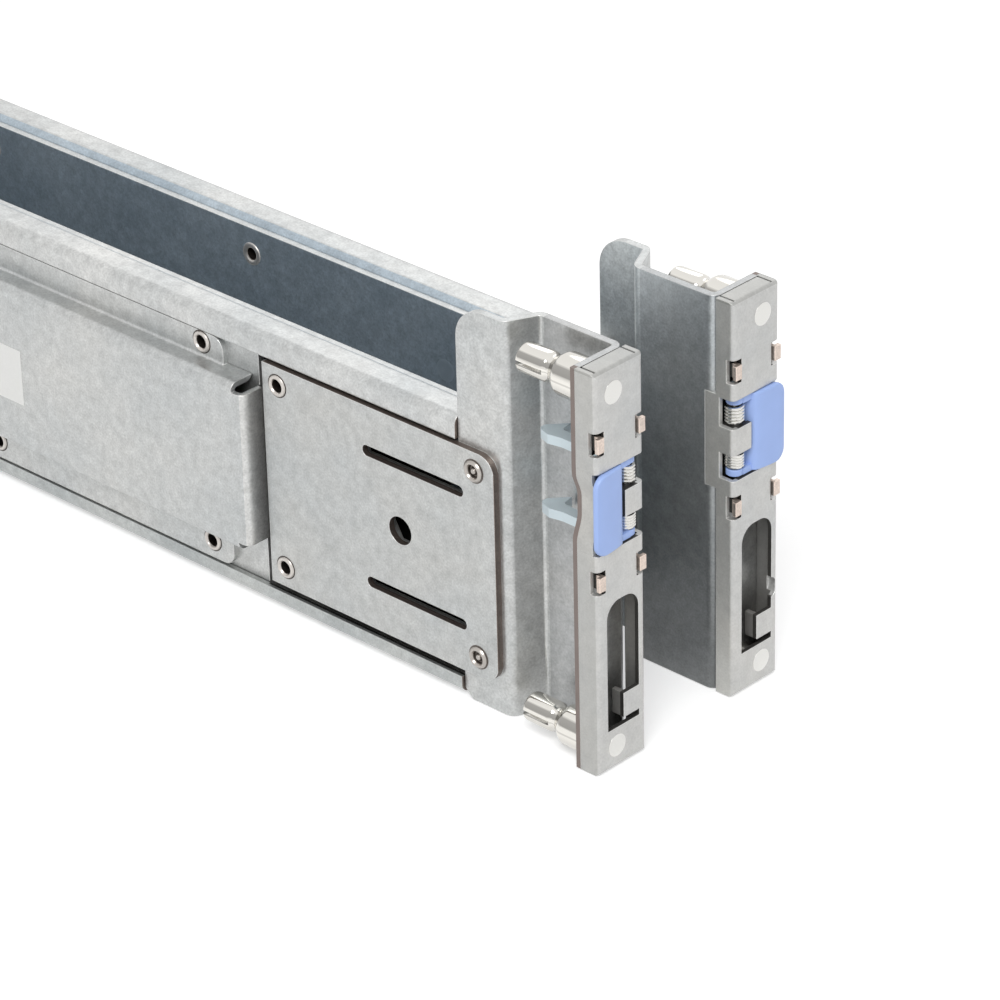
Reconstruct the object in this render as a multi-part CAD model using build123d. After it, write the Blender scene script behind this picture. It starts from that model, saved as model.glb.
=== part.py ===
"""Static server rail kit: a left and a right rail that carry a server in a four-post rack.

Each rail is an outer channel with a front ear, and a rear section that slides in the channel so
that the rail fits racks of several depths. Both ears carry two studs that enter the rack holes
and a hand-pulled latch with two hooks. A folded ledge riveted to the channel holds the server.

Lengths are millimetres. Every piece is drawn for the left rail's front end: X runs along the
rail and out of the rack's front, Y points to the server, and Z is up from the ear's mid-height.
The inner plate's front face is at X = 0 and the ear's server side is at Y = 0. The kit stands on
Z = 0 with its origin at the middle of its footprint, and the other ends are mirror images.
"""
from build123d import *
import os

# Kit layout
closed_length = 608.0  # between the ears' front faces with the rail pushed together
rail_gap = 25.4  # between the two rails' server sides, as the pair lies in the photograph
front_travel_clearance = 3.2  # between the front plate and the tray when closed

# Ear: a bent plate, 2 rack units high
ear_margin = 5.1  # from a stud's middle to the ear's end
ear_sheet = 1.5
bend_radius = 1.6  # at the middle of the sheet
inner_plate_width = 12.3
jog_start = 20.4
jog_run = 3.4
front_jog = 6.8
rear_jog = 6.1
tab_end = 35.7
tab_corner_radius = 7.0
tab_chamfer = 2.0
bend_notch_depth = 2.6
scoop_depth = 2.1
scoop_low = 3.6
scoop_high = 24.0
scoop_slope = 3.0

# Outer channel
channel_sheet = 1.2
channel_bend = 1.4  # at the middle of the sheet
channel_back = -1.2  # server side of the web
channel_depth = 7.8
channel_top = 19.2
channel_foot = 0.7  # from the ear's lower end up to the channel's
top_lip = 4.9
bottom_lip = 3.8
channel_start = 35.9
channel_tail = 68.0  # from its rear end to the rear ear when closed

# Front plate on the ear's tongue
plate_sheet = 1.5
plate_front = 25.2
plate_length = 63.0
plate_top = 13.7
plate_rise = 6.3  # from the channel's bottom to the plate's
plate_corner_radius = 4.0
tongue_setback = 1.2  # from the plate's rear end
tongue_top = 13.2
tongue_rise = 5.9
slot_front = 33.4
slot_length = 27.2
slot_width = 2.4
slot_spread = 29.6
slot_middle = -11.0
slot_room = 0.6  # the tongue's slots are larger by this on each side
hole_radius = 3.05
hole_place = 50.9

# Rear section: inner rail and rear ear in one piece
rear_sheet = 1.5
rear_bend = 1.6
rear_clearance = 0.3  # to the channel's flanges
lip_clearance = 0.2  # behind the channel's lips
rear_flange_edge = -3.9
rear_setback = 1.0  # from the tray's front end
flange_tail = 45.0

# Tray on the rear section
tray_sheet = 1.2
tray_height = 5.0
tray_top = 8.3
tray_rise = 12.8
tray_bend = 1.2
tray_tail = 88.0
tray_wall_setback = 1.0  # the tray's end wall leans into the clearance
brim_start_gap = 10.0
brim_top = 14.0
brim_rise = 4.3
brim_corner_radius = 3.0
corner_slit = 0.7
label_setback = 66.9  # from the tray's front end
label_length = 46.0
label_height = 12.7
label_middle = -12.2
label_sheet = 0.12

# Support ledge
ledge_sheet = 1.5
ledge_bend = 1.6
ledge_width = 11.4
ledge_top = 18.0
ledge_start = 40.0
ledge_setback = 8.0  # from the channel's rear end

# Fasteners
fit = 0.05  # radial room round a rivet or stud in its hole
rivet_sides = 6  # small fasteners and their holes have few faces
rivet_head_radius = 2.3
rivet_shank_radius = 1.5
rivet_head = 0.7
rivet_tail = 0.8
front_rivet_place = 30.4
eyelet_flange_radius = 2.6
eyelet_radius = 2.1
eyelet_flange = 0.5
plate_eyelet_inset = 4.2  # from the plate's rear edge
plate_row_top = 9.6
plate_row_rise = 10.8
tray_eyelet_inset = 16.1  # from the tray's front end
tray_eyelet_tail = 18.1  # from its rear end
tray_eyelet_steps = [0, 1, 3, 5, 6]  # of the sixths between them
tray_row_top = 11.55
tray_row_rise = 8.5
ledge_rivet_place = 127.0
ledge_rivet_pitch = 81.0
ledge_rivet_count = 5
ledge_row = 12.0
shoulder_radius = 3.5
shoulder_shank = 2.0
shoulder_recess = 0.1  # the rivet's end below the ledge's face
shoulder_places = [(42.4, -3.8), (42.4, -18.2), (71.6, 3.6), (71.6, -25.6)]

# Cover
cover_sheet = 1.0
cover_bend = 0.65
end_bend = 1.0
cover_depth = 4.6
cover_width = 13.4
cover_back = -0.4
cover_corner = 1.5
end_flange_inset = 1.5
button_window_low = 5.0
button_window_high = 22.4
button_window_edge = -5.3
band_low = 10.6
band_high = 16.2
window_wrap = 1.0  # how far forward the spring windows leave the side flange
tab_window_height = 5.0
tab_height = 3.0
tab_sheet = 0.8
tab_hook = 0.9  # the tab's tip turned over the cover
tab_proud = 0.5  # in front of the cover's face
tab_tip = 0.8
tab_heights = [28.5, -0.9]
tab_window_depth = 1.8
tab_window_width = 2.4
flap_length = 2.5
flap_low = 2.4
flap_high = 22.8
lower_window_top = -6.2
lower_window_margin = 9.0  # from the ear's lower end
lower_window_width = 8.9
lower_window_shift = 0.3
lower_window_radius = 3.6
relief_radius = 2.4
relief_height = -22.9
relief_reach = 1.55  # past the window's edge
finger_rise = 1.4
finger_height = 5.3
finger_length = 4.4
finger_depth = 3.0

# Studs, in the rack's outermost holes of two units
stud_spacing = 76.2
stud_place = -8.4
stud_base_radius = 4.4
rear_stud_base_radius = 4.2  # less, so that no two studs on one line are alike
stud_base_length = 6.6
stud_tip_radius = 3.1
stud_length = 17.7  # from the front face of the inner plate
stud_shank_radius = 2.2
stud_slot_width = 0.9
stud_slot_length = 7.0

# Latch
hook_sheet = 2.0
hook_heights = [22.225, 6.35]  # the rack's next two holes
hook_reach = 15.6
hook_arm_top = -4.9
hook_arm_bottom = -7.5
hook_room = 0.35
carrier_sheet = 1.0
carrier_gap = 0.4
carrier_edge = -11.4
pin_x = 2.4
pin_y = -2.9
pin_radius = 0.8
pin_head_radius = 1.1
pin_head = 0.5
pin_play = 0.1  # along the pin, between its pieces
pin_hole_radius = 0.95  # at its corners
lug_reach = 1.9
spring_radius = 2.05
knuckle_height = 1.4
knuckle_radius = 1.75
button_room = 0.25  # round the button in its window
button_proud = 0.4
button_bulge = 0.9  # past the cover's side
button_swell = 0.65  # of its front face, at the outer edge
button_corner = 2.2
button_relief = 1.8  # where its inner edge clears the cover's band as it turns


def outline(plane, corners):
    """A face whose corners are (u, v) or, where rounded, (u, v, radius)."""
    points = [corner[:2] for corner in corners]
    radii = [corner[2] if len(corner) == 3 else 0 for corner in corners]
    return plane * make_face(FilletPolyline(*points, radius=radii, close=True))


def folded(plane, corners, sheet, radius):
    """Section of a folded sheet: its middle line with rounded bends, given its thickness."""
    return plane * trace(FilletPolyline(*corners, radius=radius), line_width=sheet)


def side_cut(corners, low, high):
    """Solid with an outline seen from the side (X, Z), between two places along Y."""
    return extrude(outline(Plane.XZ.offset(-high), corners), high - low)


def block(x, y, z):
    """Solid between two places along each axis."""
    size = (x[1] - x[0], y[1] - y[0], z[1] - z[0])
    return Pos((x[0] + x[1]) / 2, (y[0] + y[1]) / 2, (z[0] + z[1]) / 2) * Box(*size)


def round_y(x, z, radius, low, high):
    """Round bar along Y."""
    return Pos(x, (low + high) / 2, z) * Rot(90, 0, 0) * Cylinder(radius, high - low)


def rivet_bar(x, z, radius, low, high):
    """Bar along Y with a few sides, for a rivet or its hole."""
    return extrude(Plane.XZ.offset(-high) * Pos(x, z) * RegularPolygon(radius, rivet_sides), high - low)


def few_sided_x(y, z, radius, low, high):
    """Bar along X with a few sides."""
    return extrude(Plane.YZ.offset(low) * Pos(y, z) * RegularPolygon(radius, rivet_sides), high - low)


def few_sided_z(x, y, radius, low, high):
    """Bar along Z with a few sides."""
    return extrude(Plane.XY.offset(low) * Pos(x, y) * RegularPolygon(radius, rivet_sides), high - low)


def round_x(y, z, radius, low, high):
    """Round bar along X."""
    return Pos((low + high) / 2, y, z) * Rot(0, 90, 0) * Cylinder(radius, high - low)


def round_z(x, y, radius, low, high):
    """Round bar along Z."""
    return Pos(x, y, (low + high) / 2) * Cylinder(radius, high - low)


def group(pieces):
    """Separate solids kept together in one file."""
    return Compound(children=[solid for piece in pieces for solid in piece.solids()])


# Planes and places that several pieces share, worked out from the sizes above
ear_height = stud_spacing + 2 * ear_margin
half_ear = ear_height / 2
channel_bottom = channel_foot - half_ear
channel_end = closed_length - channel_tail
channel_front = channel_back - channel_depth
channel_inside = channel_back - channel_sheet
lip_back = channel_front + channel_sheet
tongue_face = -front_jog - ear_sheet
plate_face = tongue_face - plate_sheet
plate_end = plate_front + plate_length
plate_bottom = channel_bottom + plate_rise
tongue_end = plate_end - tongue_setback
tongue_bottom = channel_bottom + tongue_rise
rear_face = lip_back + lip_clearance
rear_back = rear_face + rear_sheet
brim_face = rear_face - tray_sheet
tray_face = brim_face - tray_height
tray_start = plate_end + front_travel_clearance - tray_wall_setback
tray_end = closed_length - tray_tail
tray_bottom = channel_bottom + tray_rise
brim_bottom = channel_bottom + brim_rise
tray_row_bottom = channel_bottom + tray_row_rise
rear_start = tray_start + rear_setback
rear_flange_end = closed_length - flange_tail
label_start = tray_start + label_setback
ledge_end = channel_end - ledge_setback
ledge_face = channel_back + ledge_sheet
cover_middle = -cover_width / 2
stud_heights = [stud_spacing / 2, -stud_spacing / 2]
slot_rows = [slot_middle + slot_spread / 2, slot_middle - slot_spread / 2]
plate_rows = [plate_row_top, channel_bottom + plate_row_rise]
plate_eyelet_place = plate_end - plate_eyelet_inset
lower_window_bottom = lower_window_margin - half_ear
finger_low = lower_window_bottom + finger_rise


def ear_sides(tongue):
    """Side outline of an ear and what it carries on, as (x, z, radius) corners."""
    reach, top, bottom = tongue
    return [
        (1.0, half_ear),
        (-tab_end, half_ear, tab_corner_radius),
        (-tab_end, top),
        (-reach, top),
        (-reach, bottom),
        (-tab_end, bottom),
        (-tab_end, -half_ear + tab_chamfer),
        (-tab_end + tab_chamfer, -half_ear),
        (1.0, -half_ear),
    ]


def ear_blank(jog, sheet, tongue):
    """Folded blank of an ear: inner plate, web, jog, tab, and a tongue that runs back."""
    half = ear_sheet / 2
    path = [
        (-half, -inner_plate_width),
        (-half, -half),
        (-jog_start, -half),
        (-jog_start - jog_run, -jog - half),
        (-tongue[0] - 1.0, -jog - half),
    ]
    section = folded(Plane.XY.offset(-half_ear), path, sheet, bend_radius)
    return extrude(section, ear_height) & side_cut(ear_sides(tongue), -inner_plate_width - 1.0, 1.0)


def ear_openings():
    """What is cut out of an ear's inner plate and its bend."""
    cuts = []
    for height in stud_heights:
        cuts.append(few_sided_x(stud_place, height, stud_shank_radius + fit, -3.0, 1.0))
    low = hook_arm_bottom - 1.5
    high = hook_arm_top + hook_room
    for height in hook_heights:
        reach = hook_sheet / 2 + hook_room
        cuts.append(block((-3.0, 1.0), (low, high), (height - reach, height + reach)))
    edge = -inner_plate_width + scoop_depth
    scoop = [
        (-inner_plate_width - 1.0, scoop_low - scoop_slope),
        (-inner_plate_width, scoop_low - scoop_slope),
        (edge, scoop_low, 1.0),
        (edge, scoop_high, 1.0),
        (-inner_plate_width, scoop_high + scoop_slope),
        (-inner_plate_width - 1.0, scoop_high + scoop_slope),
    ]
    cuts.append(extrude(outline(Plane.YZ.offset(-3.0), scoop), 4.0))
    flap = (flap_low - fit, flap_high + fit)
    cuts.append(block((-bend_notch_depth, 0.5), (-ear_sheet - 0.4, 0.5), flap))
    return cuts


def ear_tabs():
    """Four small tabs of the inner plate that come through the cover's corners and hold it."""
    inset = cover_sheet + 0.1
    tip_end = cover_depth + tab_proud
    tabs = []
    for height in tab_heights:
        span = (height - tab_height / 2, height + tab_height / 2)
        for low in (-cover_width + inset, -inset - tab_sheet):
            lip = tab_hook if low < cover_middle else -tab_hook
            tabs.append(block((-0.2, tip_end), (low, low + tab_sheet), span))
            tip = (min(low, low - lip), max(low + tab_sheet, low + tab_sheet - lip))
            tabs.append(block((tip_end - tab_tip, tip_end), tip, span))
    return tabs


def joined(pieces):
    """One solid from pieces that meet."""
    first, *rest = pieces
    for piece in rest:
        first = first + piece
    return first


def make_front_ear():
    """Front ear with the tongue that lies behind the front plate."""
    ear = ear_blank(front_jog, ear_sheet, (tongue_end, tongue_top, tongue_bottom))
    ear = joined([ear] + ear_tabs()) - ear_openings()
    cuts = plate_rivet_holes()
    cuts += [rivet_bar(-x, z, shoulder_shank + fit, -12, -5) for x, z in shoulder_places]
    along = (-slot_front - slot_length - slot_room, -slot_front + slot_room)
    for row in slot_rows:
        half = slot_width / 2 + slot_room
        cuts.append(block(along, (-12, -5), (row - half, row + half)))
    cuts.append(rivet_bar(-hole_place, slot_middle, hole_radius + 2 * slot_room, -12, -5))
    return ear - cuts


def plate_rivet_holes():
    """Cutters for the rivet and eyelet holes through the front plate and the tongue."""
    cuts = [rivet_bar(-front_rivet_place, z, rivet_shank_radius + fit, -12, -5) for z in plate_rows]
    return cuts + [rivet_bar(-plate_eyelet_place, z, eyelet_radius + fit, -12, -5) for z in plate_rows]


def plate_slot(row):
    """Cutter for one long slot of the front plate."""
    half = slot_width / 2
    front, back = -slot_front, -slot_front - slot_length
    corners = [(front, row - half, half * 0.98), (front, row + half, half * 0.98)]
    corners += [(back, row + half, half * 0.98), (back, row - half, half * 0.98)]
    return side_cut(corners, -12.0, -5.0)


def make_front_plate():
    """Slotted plate riveted over the tongue, between the channel's lips."""
    corners = [
        (-plate_front, plate_top, plate_corner_radius),
        (-plate_end, plate_top),
        (-plate_end, plate_bottom),
        (-plate_front, plate_bottom, plate_corner_radius),
    ]
    plate = side_cut(corners, plate_face, tongue_face)
    cuts = [plate_slot(row) for row in slot_rows]
    cuts.append(round_y(-hole_place, slot_middle, hole_radius, -12, -5))
    return plate - cuts - plate_rivet_holes()


def blind_rivet(x, z, front, back):
    """Headed rivet through two sheets, set from the outer side, with a tail behind."""
    head = rivet_bar(x, z, rivet_head_radius, front - rivet_head, front)
    shank = rivet_bar(x, z, rivet_shank_radius, front, back)
    tail = rivet_bar(x, z, rivet_head_radius - 0.3, back, back + rivet_tail)
    return head + shank + tail


def eyelet(x, z, front, back):
    """Hollow rivet through two sheets, flanged on the outer side; its bore is left to the render."""
    flange = rivet_bar(x, z, eyelet_flange_radius, front - eyelet_flange, front)
    return flange + rivet_bar(x, z, eyelet_radius, front, back)


def shoulder_rivet(x, z):
    """Stepped rivet that holds the channel and ledge a fixed way behind the tongue."""
    shoulder = rivet_bar(x, z, shoulder_radius, tongue_face + ear_sheet, channel_inside)
    return shoulder + rivet_bar(x, z, shoulder_shank, tongue_face, ledge_face - shoulder_recess)


def make_outer_channel():
    """Long lipped channel, open to the outer side."""
    half = channel_sheet / 2
    front, back = channel_front + half, channel_back - half
    path = [
        (front, channel_top - top_lip),
        (front, channel_top - half),
        (back, channel_top - half),
        (back, channel_bottom + half),
        (front, channel_bottom + half),
        (front, channel_bottom + bottom_lip),
    ]
    section = folded(Plane.YZ.offset(-channel_end), path, channel_sheet, channel_bend)
    channel = extrude(section, channel_end - channel_start)
    return channel - ledge_holes()


def ledge_holes():
    """Cutters for the rivet holes through the channel's web and the ledge."""
    cuts = [rivet_bar(-x, z, shoulder_shank + fit, -4, 2) for x, z in shoulder_places]
    return cuts + [rivet_bar(x, z, eyelet_radius + fit, -4, 2) for x, z in ledge_rivet_spots()]


def ledge_rivet_spots():
    """Places of the hollow rivets that hold the ledge, as (x, z)."""
    return [(-ledge_rivet_place - ledge_rivet_pitch * n, ledge_row) for n in range(ledge_rivet_count)]


def make_support_ledge():
    """Angle on the channel's server side: the server rests on its lower leg."""
    half = ledge_sheet / 2
    path = [
        (channel_back + half, ledge_top),
        (channel_back + half, channel_bottom + half),
        (channel_back + ledge_width, channel_bottom + half),
    ]
    section = folded(Plane.YZ.offset(-ledge_end), path, ledge_sheet, ledge_bend)
    ledge = extrude(section, ledge_end - ledge_start)
    return ledge - ledge_holes()


def make_rear_section():
    """Inner rail that slides in the channel, with the rear ear at its end."""
    half = rear_sheet / 2
    top = channel_top - channel_sheet - rear_clearance
    bottom = channel_bottom + channel_sheet + rear_clearance
    path = [
        (rear_flange_edge, top - half),
        (rear_face + half, top - half),
        (rear_face + half, bottom + half),
        (rear_flange_edge, bottom + half),
    ]
    section = folded(Plane.YZ.offset(-rear_flange_end), path, rear_sheet, rear_bend)
    rail = extrude(section, rear_flange_end - rear_start)
    tongue = (closed_length - rear_flange_end + 2.0, top - 2.4, bottom + 2.4)
    ear = ear_blank(rear_jog, ear_sheet, tongue)
    ear = joined([ear] + ear_tabs()) - ear_openings()
    ear = Pos(-closed_length, 0, 0) * mirror(ear, about=Plane.YZ)
    holes = [rivet_bar(x, z, eyelet_radius + fit, -12, -5) for x, z in tray_eyelet_spots()]
    return rail + ear - holes


def tray_eyelet_spots():
    """Places of the hollow rivets that hold the tray, as (x, z)."""
    first, last = tray_start + tray_eyelet_inset, tray_end - tray_eyelet_tail
    step = (last - first) / tray_eyelet_steps[-1]
    columns = [first + step * number for number in tray_eyelet_steps]
    return [(-x, z) for x in columns for z in (tray_row_top, tray_row_bottom)]


def make_tray():
    """Raised cover strip of hat section with a turned-in front end, riveted on by its brims."""
    half = tray_sheet / 2
    brim, face = brim_face + half, tray_face + half
    path = [
        (brim, brim_top),
        (brim, tray_top - half),
        (face, tray_top - half),
        (face, tray_bottom + half),
        (brim, tray_bottom + half),
        (brim, brim_bottom),
    ]
    section = folded(Plane.YZ.offset(-tray_end), path, tray_sheet, tray_bend)
    tray = extrude(section, tray_end - tray_start)
    brim_start = tray_start + brim_start_gap
    for edge, wall, sign in ((brim_top, tray_top, 1), (brim_bottom, tray_bottom, -1)):
        end = [
            (-tray_start + 1.0, wall + sign * 0.05),
            (-brim_start + brim_corner_radius, wall + sign * 0.05),
            (-brim_start, wall + sign * 0.06),
            (-brim_start, edge, brim_corner_radius),
            (-brim_start - brim_corner_radius * 1.2, edge),
            (-brim_start - brim_corner_radius * 1.2, edge + sign),
            (-tray_start + 1.0, edge + sign),
        ]
        tray -= side_cut(end, brim_face - 0.5, rear_face + 0.5)
    wall_path = [
        (-tray_start - 8.0, face),
        (-tray_start - half, face),
        (-tray_start - half, rear_face - 0.3),
    ]
    low, high = tray_bottom + tray_sheet + corner_slit, tray_top - tray_sheet - corner_slit
    wall = extrude(folded(Plane.XY.offset(low), wall_path, tray_sheet, tray_bend), high - low)
    front = (-tray_start - 3.0, -tray_start + 1.0)
    for span in ((tray_bottom - 1.0, low), (high, tray_top + 1.0)):
        tray -= block(front, (tray_face - 1.0, rear_face + 1.0), span)
    tray -= block(front, (tray_face - 1.0, rear_face + 1.0), (low, high))
    holes = [rivet_bar(x, z, eyelet_radius + fit, -12, -5) for x, z in tray_eyelet_spots()]
    return tray + wall - holes


def make_label():
    """Blank paper label on the tray's outer face."""
    low, high = label_middle - label_height / 2, label_middle + label_height / 2
    back = -label_start - label_length
    corners = [(-label_start, high), (back, high), (back, low), (-label_start, low)]
    return side_cut(corners, tray_face - label_sheet, tray_face)


def cover_shell():
    """Folded shell of an end cover, before its openings."""
    half = cover_sheet / 2
    front = cover_depth - half
    plan = [
        (0.15, -half),
        (front, -half),
        (front, -cover_width + half),
        (cover_back, -cover_width + half),
    ]
    low, high = -cover_width + end_flange_inset, -end_flange_inset
    bend = half_ear - end_bend - half
    body = extrude(folded(Plane.XY.offset(-half_ear), plan, cover_sheet, cover_bend), ear_height)
    side = [
        (-2.0, half_ear),
        (cover_depth, half_ear, cover_corner),
        (cover_depth, -half_ear, cover_corner),
        (-2.0, -half_ear),
    ]
    body &= side_cut(side, -cover_width - 1.0, 1.0)
    for span in ((bend, half_ear + 1), (-half_ear - 1, -bend)):
        body -= block((cover_depth - 2 * cover_sheet, cover_depth + 1), (low, high), span)
    profile = [
        (0.15, half_ear - half),
        (front, half_ear - half),
        (front, -half_ear + half),
        (0.15, -half_ear + half),
    ]
    ends = extrude(folded(Plane.XZ.offset(-high), profile, cover_sheet, end_bend), high - low)
    flap = block((-flap_length, 0.2), (-cover_sheet, 0), (flap_low, flap_high))
    return body + ends + flap


def lower_window(shift):
    """Cutter for the cover's lower window."""
    middle = cover_middle + shift
    half = lower_window_width / 2
    corners = [
        (middle + half, lower_window_top, lower_window_radius),
        (middle + half, lower_window_bottom),
        (middle - half, lower_window_bottom),
        (middle - half, lower_window_top, lower_window_radius),
    ]
    return extrude(outline(Plane.YZ.offset(cover_depth - 2.0), corners), 3.0)


def window_finger(edge, side):
    """Short finger left in the lower window and turned inwards."""
    tip = edge - side * finger_length
    face = (cover_depth - cover_sheet, cover_depth)
    height = (finger_low, finger_low + finger_height)
    finger = block(face, sorted((edge + side * 0.4, tip)), height)
    turned_in = (cover_depth - finger_depth, cover_depth)
    return finger + block(turned_in, sorted((tip, tip + side * cover_sheet)), height)


def make_cover(finger_side):
    """End cover: the pressed steel face that hides the latch. finger_side is 1 or -1."""
    outer, front = -cover_width, cover_depth
    cuts = [
        block((-2.0, front + 1), (outer - 1, button_window_edge), (button_window_low, button_window_high)),
        block((window_wrap, front + 1), (-6.0, 1.0), (button_window_low, band_low)),
        block((window_wrap, front + 1), (-6.0, 1.0), (band_high, button_window_high)),
    ]
    for height in tab_heights:
        span = (height - tab_window_height / 2, height + tab_window_height / 2)
        deep = (front - tab_window_depth, front + 1)
        cuts.append(block(deep, (outer - 1, outer + tab_window_width), span))
        cuts.append(block(deep, (-tab_window_width, 1.0), span))
    for height in stud_heights:
        cuts.append(few_sided_x(stud_place, height, stud_shank_radius + fit, 0, 9))
    shift = finger_side * lower_window_shift
    edge = cover_middle + shift + finger_side * lower_window_width / 2
    cuts.append(lower_window(shift))
    if finger_side < 0:
        relief = edge + relief_radius - relief_reach
        cuts.append(round_x(relief, relief_height, relief_radius, cover_depth - 2, cover_depth + 1))
    cover = cover_shell() - cuts + window_finger(edge, finger_side)
    lug = block((pin_x - lug_reach, cover_depth - 0.5), (pin_y - lug_reach, -0.5), (band_low, band_high))
    return cover + lug - pin_hole(band_low, band_high)


def pin_hole(low, high):
    """Cutter for the hinge pin's hole through a lug, knuckle or spring."""
    return few_sided_z(pin_x, pin_y, pin_hole_radius, low - 1, high + 1)


def make_stud(height, base_radius):
    """Turned stud: a round base that fills the rack's hole, and a split tip. Riveted to the ear."""
    base_end = -ear_sheet - stud_base_length
    stud = round_x(0, 0, base_radius, base_end, -ear_sheet)
    stud += few_sided_x(0, 0, stud_shank_radius, -ear_sheet, cover_depth)
    stud += few_sided_x(0, 0, stud_tip_radius, -stud_length, base_end)
    slot = (-stud_length - 1.0, -stud_length + stud_slot_length)
    half = stud_slot_width / 2
    stud -= block(slot, (-stud_tip_radius - 1, stud_tip_radius + 1), (-half, half))
    return Pos(0, stud_place, height) * stud


def hook_fin(height):
    """One hook: a flat arm with a barbed end, seen from above."""
    corners = [
        (carrier_gap + carrier_sheet, hook_arm_bottom),
        (-9.5, hook_arm_bottom),
        (-12.5, hook_arm_bottom - 0.6),
        (-hook_reach, hook_arm_bottom + 0.4, 1.2),
        (-hook_reach + 0.2, hook_arm_top - 0.5),
        (-12.2, -1.9),
        (-11.8, hook_arm_top + 0.5),
        (-11.0, hook_arm_top),
        (carrier_gap + carrier_sheet, hook_arm_top),
    ]
    return extrude(outline(Plane.XY.offset(height - hook_sheet / 2), corners), hook_sheet)


def make_latch_hook():
    """Both hooks on the upright carrier that turns about the hinge pin inside the cover."""
    low = button_window_low + button_room
    high = max(hook_heights) + hook_sheet / 2
    span = (carrier_gap, carrier_gap + carrier_sheet)
    carrier = block(span, (carrier_edge, hook_arm_top), (low, high))
    return joined([carrier] + [hook_fin(height) for height in hook_heights])


def make_release_button():
    """Plastic pull button on the carrier, with a knuckle round the pin at each end."""
    low = button_window_low + button_room
    high = button_window_high - button_room
    back = carrier_gap + carrier_sheet
    front = cover_depth + button_proud
    edge = button_window_edge - button_room
    tip = -cover_width - button_bulge
    plan = [
        (back, edge),
        (cover_depth - button_relief, edge),
        (front, edge - 0.8),
        (front + button_swell, tip, 0.8),
        (front - 1.6, tip),
        (back, -cover_width + 0.8),
    ]
    body = extrude(outline(Plane.XY.offset(low), plan), high - low)
    shape = [
        (0, low),
        (tip + button_corner, low),
        (tip, low + button_corner),
        (tip, high - button_corner),
        (tip + button_corner, high),
        (0, high),
    ]
    body &= extrude(outline(Plane.YZ, shape), front + 2.0)
    for start in (low, high - knuckle_height):
        arm = [(back, edge - 1.0), (pin_x + knuckle_radius, edge - 1.0), (pin_x + knuckle_radius, pin_y)]
        arm += [(pin_x - knuckle_radius * 0.7, pin_y), (back, pin_y - 1.4)]
        knuckle = extrude(outline(Plane.XY.offset(start), arm), knuckle_height)
        knuckle += few_sided_z(pin_x, pin_y, knuckle_radius, start, start + knuckle_height)
        body += knuckle - pin_hole(start, start + knuckle_height)
    return body


def make_hinge_pin():
    """Headed pin through the cover's lug, the springs and the button's knuckles."""
    low = button_window_low + button_room - pin_play
    high = button_window_high - button_room + pin_play
    pin = round_z(pin_x, pin_y, pin_radius, low, high)
    for start in (low - pin_head, high):
        pin += few_sided_z(pin_x, pin_y, pin_head_radius, start, start + pin_head)
    return pin


def make_spring(low, high):
    """Torsion spring, drawn as the sleeve that its close coils fill."""
    return few_sided_z(pin_x, pin_y, spring_radius, low, high) - pin_hole(low, high)


def make_latch_springs():
    """The two springs that turn the hooks back, one each side of the cover's barrel."""
    low = button_window_low + button_room + knuckle_height + pin_play
    high = button_window_high - button_room - knuckle_height - pin_play
    return [make_spring(low, band_low - pin_play), make_spring(band_high + pin_play, high)]


def place(piece, side, end):
    """Put a left front piece where it goes in the kit."""
    piece = Pos(closed_length / 2, -rail_gap / 2, half_ear) * piece
    if end == "rear":
        piece = mirror(piece, about=Plane.YZ)
    if side == "right":
        piece = mirror(piece, about=Plane.XZ)
    return piece


def rail_pieces():
    """Pieces that each rail has once, drawn for the left rail."""
    depth = (plate_face, tongue_face + ear_sheet)
    plate_rivets = [blind_rivet(-front_rivet_place, row, *depth) for row in plate_rows]
    plate_eyelets = [eyelet(-plate_eyelet_place, row, *depth) for row in plate_rows]
    shoulder_rivets = [shoulder_rivet(-x, z) for x, z in shoulder_places]
    ledge_rivets = [eyelet(x, z, channel_inside, ledge_face) for x, z in ledge_rivet_spots()]
    tray_eyelets = [eyelet(x, z, brim_face, rear_back) for x, z in tray_eyelet_spots()]
    return {
        "outer_channel": make_outer_channel(),
        "front_ear": make_front_ear(),
        "front_plate": make_front_plate(),
        "plate_rivets": group(plate_rivets),
        "plate_eyelets": group(plate_eyelets),
        "shoulder_rivets": group(shoulder_rivets),
        "support_ledge": make_support_ledge(),
        "ledge_rivets": group(ledge_rivets),
        "rear_section": make_rear_section(),
        "tray": make_tray(),
        "tray_eyelets": group(tray_eyelets),
    }


def make_studs(base_radius):
    """Both studs of an end."""
    return group([make_stud(height, base_radius) for height in stud_heights])


def end_pieces(side):
    """Pieces that each of a rail's two ends has, drawn for its front end; the studs come after."""
    return {
        "cover": make_cover(1 if side == "left" else -1),
        "latch_hook": make_latch_hook(),
        "release_button": make_release_button(),
        "hinge_pin": make_hinge_pin(),
        "latch_springs": group(make_latch_springs()),
    }


def main():
    """Write one file for each piece of the kit."""
    os.makedirs("parts", exist_ok=True)
    for side in ("left", "right"):
        for name, piece in rail_pieces().items():
            export_step(place(piece, side, "front"), f"parts/{side}_{name}.step")
        pieces = end_pieces(side)
        for end, base_radius in (("front", stud_base_radius), ("rear", rear_stud_base_radius)):
            pieces["studs"] = make_studs(base_radius)
            for name, piece in pieces.items():
                export_step(place(piece, side, end), f"parts/{side}_{end}_{name}.step")
    export_step(place(make_label(), "left", "front"), "parts/left_label.step")


main()
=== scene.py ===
"""Looks of the static server rail kit: finishes for its sheet metal, and its fasteners, springs,
studs and buttons as round pieces. Lengths are millimetres, in the frame of the CAD."""
import math

import bmesh
import bpy
from mathutils import Matrix, Vector


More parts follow.
